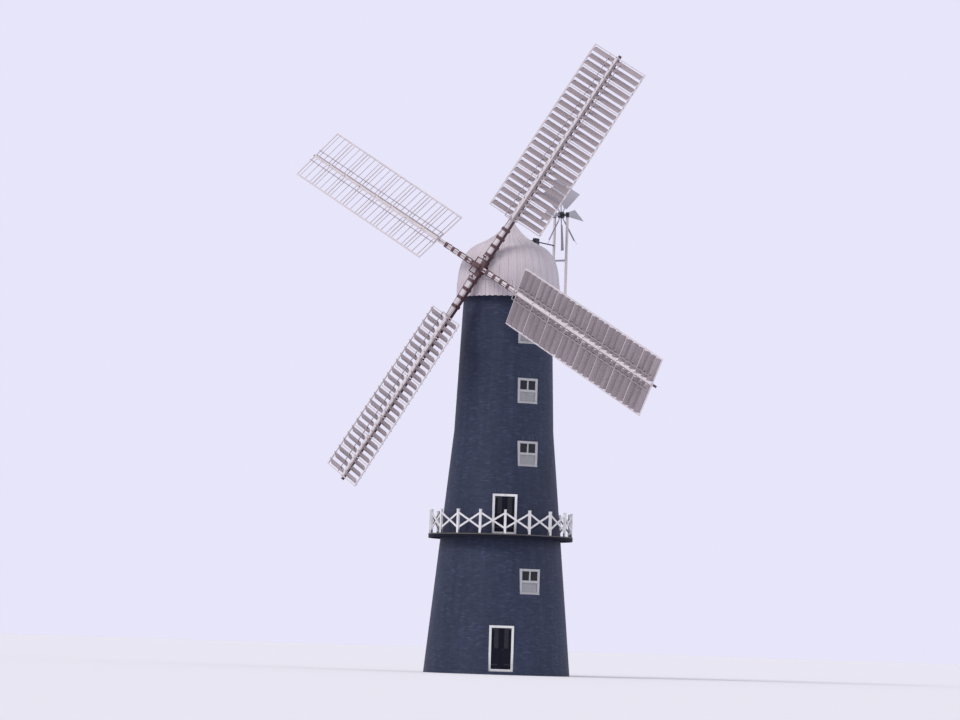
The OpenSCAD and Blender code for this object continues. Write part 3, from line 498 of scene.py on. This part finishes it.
class Solids:
    """Collects boxes, prisms and other small solids and turns them into one piece."""

    def __init__(self):
        self.verts = []
        self.faces = []

    def add(self, place, points, faces):
        first = len(self.verts)
        self.verts += [place @ Vector(p) for p in points]
        self.faces += [tuple(first + i for i in face) for face in faces]

    def box(self, place, low, high):
        points = [(x, y, z) for z in (low[2], high[2]) for y in (low[1], high[1])
                  for x in (low[0], high[0])]
        self.add(place, points, BOX_FACES)

    def prism(self, place, sides, radius, low, high):
        angles = [2 * math.pi * i / sides for i in range(sides)]
        points = [(radius * math.cos(a), radius * math.sin(a), z) for z in (low, high)
                  for a in angles]
        faces = [(i, (i + 1) % sides, sides + (i + 1) % sides, sides + i) for i in range(sides)]
        faces += [tuple(reversed(range(sides))), tuple(range(sides, 2 * sides))]
        self.add(place, points, faces)

    def piece(self, name, look, body, slot):
        mesh = bpy.data.meshes.new(name)
        mesh.from_pydata(self.verts, [], self.faces)
        mesh.materials.append(MATERIALS[look])
        made = bpy.data.objects.new(name, mesh)
        bpy.context.scene.collection.objects.link(made)
        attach(made, body)


def at_az(az):
    """Turns what is made on the -Y side to an azimuth."""
    return Matrix.Rotation(math.radians(az), 4, "Z")


def tower_r(z):
    if z < BEND_Z:
        return BASE_R + (BEND_R - BASE_R) * z / BEND_Z
    return BEND_R + (TOP_R - BEND_R) * (z - BEND_Z) / (TOWER_TOP - BEND_Z)


# Each window's azimuth and the level of its middle
WINDOWS = [(WINDOW_AZ + turn, floor + WINDOW_RISE) for turn in OPPOSITE
           for floor in (FIRST_FLOOR, THIRD_FLOOR, FOURTH_FLOOR, FIFTH_FLOOR)]
# Each door's azimuth, the level of its foot and its height
DOORS = [(DOOR_AZ + turn, z, high) for turn in OPPOSITE
         for z, high in ((SLAB_T, GROUND_DOOR_H), (STAGE, STAGE_DOOR_H))]


# Brickwork

STOREYS = (
    ("ground_storey", 0, FIRST_FLOOR),
    ("first_storey", FIRST_FLOOR, STAGE),
    ("stage_storey", STAGE, THIRD_FLOOR),
    ("third_storey", THIRD_FLOOR, FOURTH_FLOOR),
    ("fourth_storey", FOURTH_FLOOR, FIFTH_FLOOR),
    ("top_storey", FIFTH_FLOOR, TOWER_TOP),
)
# Each opening's azimuth, lowest and highest level and width
OPENINGS = ([(az, z - WINDOW_H / 2, z + WINDOW_H / 2, WINDOW_W) for az, z in WINDOWS]
            + [(az, z, z + high, DOOR_W) for az, z, high in DOORS])

COURSE = 0.075
BRICK = 0.225
MORTAR = 0.01
BRICK_OUT = 0.006
BRICK_IN = 0.012
UNEVEN = 0.002
SOLDIER_COURSES = 3
# All but the face towards the wall
BRICK_FACES = [(0, 1, 5, 4), (1, 3, 7, 5), (2, 0, 4, 6), (4, 5, 7, 6), (0, 2, 3, 1)]
# Shares of a course that keep a level at its edge from counting as the next one
COURSE_SLACK = 0.1
LEVEL_SLACK = 0.01


def brick(solids, a0, a1, z0, z1):
    """One brick between two azimuths and two levels, its front just proud of the wall."""
    out = BRICK_OUT + random.uniform(-UNEVEN, UNEVEN)
    points = []
    for z in (z0, z1):
        for depth in (out, -BRICK_IN):
            for a in (a0, a1):
                r = tower_r(z) + depth
                points.append((r * math.sin(a), -r * math.cos(a), z))
    solids.add(Matrix.Identity(4), points, BRICK_FACES)


def brick_run(solids, a0, a1, z, odd, closed):
    """A course from azimuth a0 to a1; an odd one is moved along by half a brick."""
    r = tower_r(z)
    count = max(1, round((a1 - a0) * r / BRICK))
    pitch = (a1 - a0) / count
    edges = [a0 + i * pitch for i in range(count + 1)]
    if odd and closed:
        edges = [e + pitch / 2 for e in edges]
    elif odd and count > 1:
        edges = [a0] + [a0 + (i + 0.5) * pitch for i in range(count)] + [a1]
    half_joint = MORTAR / 2 / r
    low, high = z + MORTAR / 2, z + COURSE - MORTAR / 2
    for left, right in zip(edges, edges[1:]):
        brick(solids, left + half_joint, right - half_joint, low, high)


def soldier_row(solids, az, z, width):
    """Upright bricks over an opening."""
    r = tower_r(z)
    half = math.asin((width / 2 + COURSE) / r)
    count = round((width + 2 * COURSE) / COURSE)
    pitch = 2 * half / count
    half_joint = MORTAR / 2 / r
    low, high = z + MORTAR / 2, z + SOLDIER_COURSES * COURSE - MORTAR / 2
    for i in range(count):
        left = math.radians(az) - half + i * pitch
        brick(solids, left + half_joint, left + pitch - half_joint, low, high)


def gaps_in_course(z):
    """The azimuths between which a course leaves room for openings and what lies over them."""
    gaps = []
    for az, z0, z1, width in OPENINGS:
        top = z0 + round((z1 - z0) / COURSE) * COURSE
        first = z0 - COURSE * (1 - COURSE_SLACK)
        last = top + SOLDIER_COURSES * COURSE - COURSE * COURSE_SLACK
        if first < z < last:
            over = COURSE if z > top - COURSE / 2 else 0
            half = math.asin((width / 2 + over) / tower_r(z))
            gaps.append((math.radians(az) - half, math.radians(az) + half))
    return sorted(gaps)


def brick_storey(name, low, high):
    solids = Solids()
    for number in range(round(low / COURSE), round(high / COURSE)):
        z = number * COURSE
        gaps = gaps_in_course(z)
        if not gaps:
            brick_run(solids, 0, 2 * math.pi, z, number % 2, closed=True)
            continue
        round_again = (gaps[0][0] + 2 * math.pi, 0)
        for this, after in zip(gaps, gaps[1:] + [round_again]):
            brick_run(solids, this[1], after[0], z, number % 2, closed=False)
    for az, z0, z1, width in OPENINGS:
        if low <= z1 < high:
            top = math.ceil(z1 / COURSE - LEVEL_SLACK) * COURSE
            soldier_row(solids, az, top, width)
    solids.piece("bricks_" + name, "brick", "tower", "brick")


def make_brickwork():
    for name, low, high in STOREYS:
        brick_storey(name, low, high)


# Windows and doors

LEAF_FRONT = FRAME_D / 3

LOUVRES = 7
LOUVRE_W = WINDOW_W - 2 * FRAME_BAR
LOUVRE_D = 0.03
LOUVRE_T = 0.012
LOUVRE_TILT = 30
LOUVRE_CLEAR = 0.002
LOUVRE_PITCH = (WINDOW_H / 2 - 1.5 * FRAME_BAR) / LOUVRES

# The strip that covers the gap between a door's two leaves
COVER_W = 0.05
COVER_T = 0.02
# On each leaf: sideways from its middle, to a stile's left edge or to both ends of a rail or
# a pane, and down from its top
BAR_T = 0.012
STILE_W = 0.04
STILES = (-0.14, 0.1)
STILE_DROP = 0.08
RAIL_HALF = 0.18
RAIL_H = 0.05
RAIL_DROP = 0.09
PANE_HALF = 0.1
PANE_T = 0.004
STRAP_L = 0.32
STRAP_H = 0.045
STRAP_T = 0.02
STRAP_DROP = 0.0875
# From the door's foot up, as shares of its height or in metres
PANE_SHARE = 0.5
RAIL_SHARE = 0.48
STRAP_Z = 0.3
# A point beside the door's middle, in front of the leaf and above the foot, and how far the
# handle reaches from it, back and forward
HANDLE_X = 0.07
HANDLE_Y = 0.03
HANDLE_Z = 1.02
HANDLE_R = 0.03
HANDLE_SIDES = 12
HANDLE_ENDS = (-0.032, 0.01)


def in_wall(az, z_mid, z, width):
    """A frame whose X runs along an opening's width and whose Y runs into the wall."""
    face_r = math.sqrt(tower_r(z_mid) ** 2 - (width / 2) ** 2)
    return at_az(az) @ Matrix.Translation((-width / 2, -face_r - FRAME_PROUD, z))


def make_louvres():
    solids = Solids()
    tilt = Matrix.Rotation(math.radians(LOUVRE_TILT), 4, "X")
    for az, middle in WINDOWS:
        base = in_wall(az, middle, middle - WINDOW_H / 2, WINDOW_W)
        for i in range(LOUVRES):
            place = Matrix.Translation((FRAME_BAR, LEAF_FRONT - LOUVRE_CLEAR,
                                        FRAME_BAR + (i + 0.5) * LOUVRE_PITCH))
            solids.box(base @ place @ tilt, (0, -LOUVRE_D, -LOUVRE_T / 2),
                       (LOUVRE_W, 0.0, LOUVRE_T / 2))
    solids.piece("window_louvres", "window_wood", "tower", "white_wood")


def make_door_details():
    bars, panes, straps, handles = Solids(), Solids(), Solids(), Solids()
    middle = DOOR_W / 2
    facing = Matrix.Rotation(math.radians(90), 4, "X")
    for az, z, high in DOORS:
        base = in_wall(az, z + high / 2, z, DOOR_W)
        top = high - FRAME_BAR
        bars.box(base, (middle - COVER_W / 2, LEAF_FRONT - COVER_T, FRAME_BAR),
                 (middle + COVER_W / 2, LEAF_FRONT, top))
        for side in (-1, 1):
            centre = middle + side * (DOOR_W / 4 - FRAME_BAR / 2)
            for x in STILES:
                bars.box(base, (centre + x, LEAF_FRONT - BAR_T, high * PANE_SHARE),
                         (centre + x + STILE_W, LEAF_FRONT, top - STILE_DROP))
            for level in (high * RAIL_SHARE, top - RAIL_DROP):
                bars.box(base, (centre - RAIL_HALF, LEAF_FRONT - BAR_T, level),
                         (centre + RAIL_HALF, LEAF_FRONT, level + RAIL_H))
            panes.box(base, (centre - PANE_HALF, LEAF_FRONT - PANE_T, high * PANE_SHARE),
                      (centre + PANE_HALF, LEAF_FRONT, top - RAIL_DROP))
            edge = middle + side * (DOOR_W / 2 - FRAME_BAR)
            left, right = sorted((edge, edge - side * STRAP_L))
            for level in (STRAP_Z, top - STRAP_DROP):
                straps.box(base, (left, LEAF_FRONT - STRAP_T, level),
                           (right, LEAF_FRONT, level + STRAP_H))
        handle = Matrix.Translation((middle + HANDLE_X, LEAF_FRONT - HANDLE_Y, HANDLE_Z))
        handles.prism(base @ handle @ facing, HANDLE_SIDES, HANDLE_R, *HANDLE_ENDS)
    bars.piece("door_bars", "dark_wood", "tower", "dark_wood")
    panes.piece("door_panes", "glass", "tower", "glass")
    straps.piece("door_straps", "dark_iron", "tower", "dark_iron")
    handles.piece("door_handles", "dark_iron", "tower", "dark_iron")


# Gallery

DECK_R = tower_r(STAGE) + DECK_W

DECK_BOARDS = 132
BOARD_GAP = 0.006
BOARD_START = 0.01
BOARD_REACH = 0.012
BOARD_SUNK = 0.002
BOARD_RISE = (0.004, 0.009)

IRON_W = 0.06
IRON_T = 0.008
IRON_H = 0.16
IRON_RISE = 0.008
POST_CAP_REACH = 0.01
POST_CAP_T = 0.018


def make_deck_boards():
    solids = Solids()
    ends = [(r, math.pi * r / DECK_BOARDS - BOARD_GAP / 2)
            for r in (tower_r(STAGE) + BOARD_START, DECK_R + BOARD_REACH)]
    for i in range(DECK_BOARDS):
        rise = random.uniform(*BOARD_RISE)
        points = [(side * half, -r, z) for z in (-BOARD_SUNK, rise) for r, half in ends
                  for side in (-1, 1)]
        turn = Matrix.Rotation(2 * math.pi * i / DECK_BOARDS, 4, "Z")
        solids.add(Matrix.Translation((0, 0, STAGE)) @ turn, points, BOX_FACES)
    solids.piece("deck_boards", "deck_wood", "tower", "deck_wood")


def make_gallery_irons():
    """Iron plates on two sides of each post's foot, and a cap on its top."""
    feet, caps = Solids(), Solids()
    post_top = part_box("gallery_posts")[1].z
    for i in range(POSTS):
        base = at_az(POST_AZ + i * 360 / POSTS) @ Matrix.Translation((0, POST_INSET - DECK_R, 0))
        for side in (-1, 1):
            plate = Matrix.Translation((side * (POST_W / 2 + IRON_T / 2), 0, STAGE + IRON_RISE))
            feet.box(base @ plate, (-IRON_T / 2, -IRON_W / 2, 0), (IRON_T / 2, IRON_W / 2, IRON_H))
        half = POST_W / 2 + POST_CAP_REACH
        caps.box(base, (-half, -half, post_top), (half, half, post_top + POST_CAP_T))
    feet.piece("post_irons", "dark_iron", "tower", "dark_iron")
    caps.piece("post_caps", "white_wood", "tower", "white_wood")


# Cap

# The points of the roof's two curves as (radius, level), as in the part's own source
SHOULDER = (SHOULDER_R, ROOF_Z + SHOULDER_RISE)
LOW_CURVE = ((SKIRT_R - 0.01, ROOF_Z), (SKIRT_R * 0.976, ROOF_Z + SHOULDER_RISE * 0.5),
             (SHOULDER_R * 1.433, ROOF_Z + SHOULDER_RISE * 0.86), SHOULDER)
HIGH_CURVE = (SHOULDER, (SHOULDER_R * 0.66, ROOF_Z + SHOULDER_RISE * 1.117),
              (SHOULDER_R * 0.28, ROOF_Z + TIP_RISE * 0.781), (TIP_R, ROOF_Z + TIP_RISE))
CURVE_STEPS = 24

BATTENS = 36
BATTEN_W = 0.018
BATTEN_RISE = 0.012
BATTEN_LAP = 0.001
# Every other batten stops at the first radius, and every other one of the rest at the second
FIRST_STOP_R = 0.32
SECOND_STOP_R = 0.16
# Between the shaft's hole in the roof and a batten
BATTEN_ROOM = 0.05
# All but the face on the roof
BATTEN_FACES = [(2, 3, 7, 6), (0, 2, 6, 4), (3, 1, 5, 7), (0, 1, 3, 2), (4, 6, 7, 5)]

SKIRT_BOARDS = 108
SKIRT_GAP = 0.006
SKIRT_BELOW = 0.04
SKIRT_ABOVE = 0.02
SKIRT_STAGGER = 0.02
SKIRT_PROUD = 0.016
SKIRT_SUNK = 0.004


def cubic(points, t):
    a, b, c, d = (Vector(p) for p in points)
    return (1 - t) ** 3 * a + 3 * t * (1 - t) ** 2 * b + 3 * t * t * (1 - t) * c + t ** 3 * d


def on_shaft():
    """A frame at the sails' hub, whose Z runs forwards along the shaft."""
    tilt = Matrix.Rotation(math.radians(90 - SHAFT_TILT), 4, "X")
    return Matrix.Translation(JOINT_AT["sails_turn"]) @ tilt


def near_shaft_hole(point):
    local = on_shaft().inverted() @ point
    return point.y < 0 and math.hypot(local.x, local.y) < NECK_R + ROOF_CLEAR + BATTEN_ROOM


def make_roof_battens():
    solids = Solids()
    curve = ([cubic(LOW_CURVE, i / CURVE_STEPS) for i in range(CURVE_STEPS)]
             + [cubic(HIGH_CURVE, i / CURVE_STEPS) for i in range(CURVE_STEPS + 1)])
    for i in range(BATTENS):
        turn = at_az((i + 0.5) * 360 / BATTENS)
        for low, high in zip(curve, curve[1:]):
            if high.x < FIRST_STOP_R and i % 2 or high.x < SECOND_STOP_R and i % 4:
                continue
            along = (high - low).normalized()
            out = Vector((along.y, -along.x)) * BATTEN_RISE
            points = []
            for end in (low - along * BATTEN_LAP, high + along * BATTEN_LAP):
                for lift in (Vector((0, 0)), out):
                    for side in (-1, 1):
                        points.append((side * BATTEN_W / 2, -(end.x + lift.x), end.y + lift.y))
            if not near_shaft_hole(turn @ Vector(points[2])):
                solids.add(turn, points, BATTEN_FACES)
    solids.piece("roof_battens", "white_wood", "cap", "cap_boards")


def make_skirt_boards():
    solids = Solids()
    half = math.pi * SKIRT_R / SKIRT_BOARDS - SKIRT_GAP / 2
    low, high = SKIRT_Z - SKIRT_BELOW, ROOF_Z + SKIRT_ABOVE
    for i in range(SKIRT_BOARDS):
        place = at_az(i * 360 / SKIRT_BOARDS) @ Matrix.Translation((0, -SKIRT_R, 0))
        foot = low + SKIRT_STAGGER * (i % 2)
        solids.box(place, (-half, -SKIRT_PROUD, foot), (half, SKIRT_SUNK, high))
    solids.piece("skirt_boards", "cap_boards", "cap", "cap_boards")


# Sails

INNER_RAIL_T = 0.012
RAIL_GAP = 0.005
LUG_START = 0.005
LUG_END = 0.12
LUG_W = 0.04
LUG_T = 0.014
BOLT_SIDES = 10
BOLT_R = 0.022
BOLT_SUNK = 0.002
BOLT_H = 0.016


def bar_dir(r):
    """The way of the sail bars at distance r, across the sail's plane and out of it."""
    share = (r - HEEL_R) / (SAIL_R - HEEL_R)
    heel, tip = (Vector((math.cos(math.radians(w)), math.sin(math.radians(w))))
                 for w in (HEEL_WEATHER, TIP_WEATHER))
    return heel * (1 - share) + tip * share


def on_sail(k):
    """A frame on sail k: X along its stock and Z forwards from the stock's front."""
    plane = (-WEB_T / 2, WEB_T / 2 + STOCK_D)[k % 2]
    turn = Matrix.Rotation(math.radians(SAIL_TURN + k * 360 / SAILS), 4, "Z")
    return on_shaft() @ turn @ Matrix.Translation((0, 0, plane))


def on_bars(k, r):
    """A frame at distance r along sail k: X along the stock, Y along the sail bars."""
    d = bar_dir(r)
    weather = Matrix.Rotation(math.atan2(d.y, d.x), 4, "X")
    return on_sail(k) @ Matrix.Translation((r, 0, BAR_RISE)) @ weather


def whip_half(r):
    return (WHIP_W + (WHIP_TIP_W - WHIP_W) * (r - WHIP_START) / (SAIL_R - WHIP_START)) / 2


def stock_half(r):
    return (STOCK_W + (STOCK_TIP_W - STOCK_W) * (r - CANISTER_L) / (STOCK_L - CANISTER_L)) / 2


def rail_edges(r):
    """Distances along the bars of the rail's edges: at the whip and at the shutters' ends."""
    d = bar_dir(r).normalized()
    back = SHUTTER_REACH * math.sin(math.radians(SHUTTER_OPEN)) * d.y
    shutter_end = (max(whip_half(r), stock_half(r)) + SHUTTER_GAP + back) / d.x
    return whip_half(r) / d.x + RAIL_GAP, shutter_end - RAIL_GAP


def make_inner_rails():
    """Thin boards along the trailing side of each whip, in which the shutters' pins end."""
    solids = Solids()
    for k in range(SAILS):
        for i in range(BAYS):
            points = []
            for z in (-INNER_RAIL_T / 2, INNER_RAIL_T / 2):
                for end in (0, 1):
                    r = HEEL_R + (i + end) * BAY + (1 - 2 * end) * (BAR_W / 2 + RAIL_GAP)
                    points += [on_bars(k, r) @ Vector((0, -edge, z)) for edge in rail_edges(r)]
            solids.add(Matrix.Identity(4), points, BOX_FACES)
    solids.piece("inner_rails", "shutter_boards", "sails", "shutter_boards")


def make_sail_details():
    """Lugs between the shutters and the shutter bars, and a bolt at each end of each bay."""
    lugs, bolts = Solids(), Solids()
    opened = Matrix.Rotation(math.radians(SHUTTER_OPEN), 4, "Y")
    for k in range(SAILS):
        for i in range(BAYS * BAY_SHUTTERS):
            bay, number = divmod(i, BAY_SHUTTERS)
            r = HEEL_R + bay * BAY + BAR_W / 2 + (number + 0.5) * SHUTTER_PITCH
            for side in (-1, 1):
                face = on_bars(k, r) @ Matrix.Translation((0, side * LINK_X, 0)) @ opened
                lugs.box(face, (LUG_START - SHUTTER_REACH, -LUG_W / 2, SHUTTER_T / 2),
                         (LUG_END - SHUTTER_REACH, LUG_W / 2, SHUTTER_T / 2 + LUG_T))
        for i in range(BAYS + 1):
            place = on_sail(k) @ Matrix.Translation((HEEL_R + BAY * i, 0, WHIP_D))
            bolts.prism(place, BOLT_SIDES, BOLT_R, -BOLT_SUNK, BOLT_H)
    lugs.piece("shutter_lugs", "dark_iron", "sails", "dark_iron")
    bolts.piece("sail_bolts", "dark_iron", "sails", "dark_iron")


# The scene, in an order that the random draws for bricks and deck boards depend on

bpy.context.scene.view_settings.view_transform = "Standard"
make_camera()
make_world()
make_sun("key", azimuth=CAMERA_AZ - 48, elevation=42, strength=1.6, spread=24,
         colour=(1.0, 0.95, 0.92))
make_sun("fill", azimuth=CAMERA_AZ + 75, elevation=25, strength=0.4, spread=30,
         colour=(0.93, 0.95, 1.0))
make_floor()
dress_nodes()

make_brickwork()
make_louvres()
make_door_details()
make_deck_boards()
make_gallery_irons()
make_roof_battens()
make_skirt_boards()
make_inner_rails()
make_sail_details()
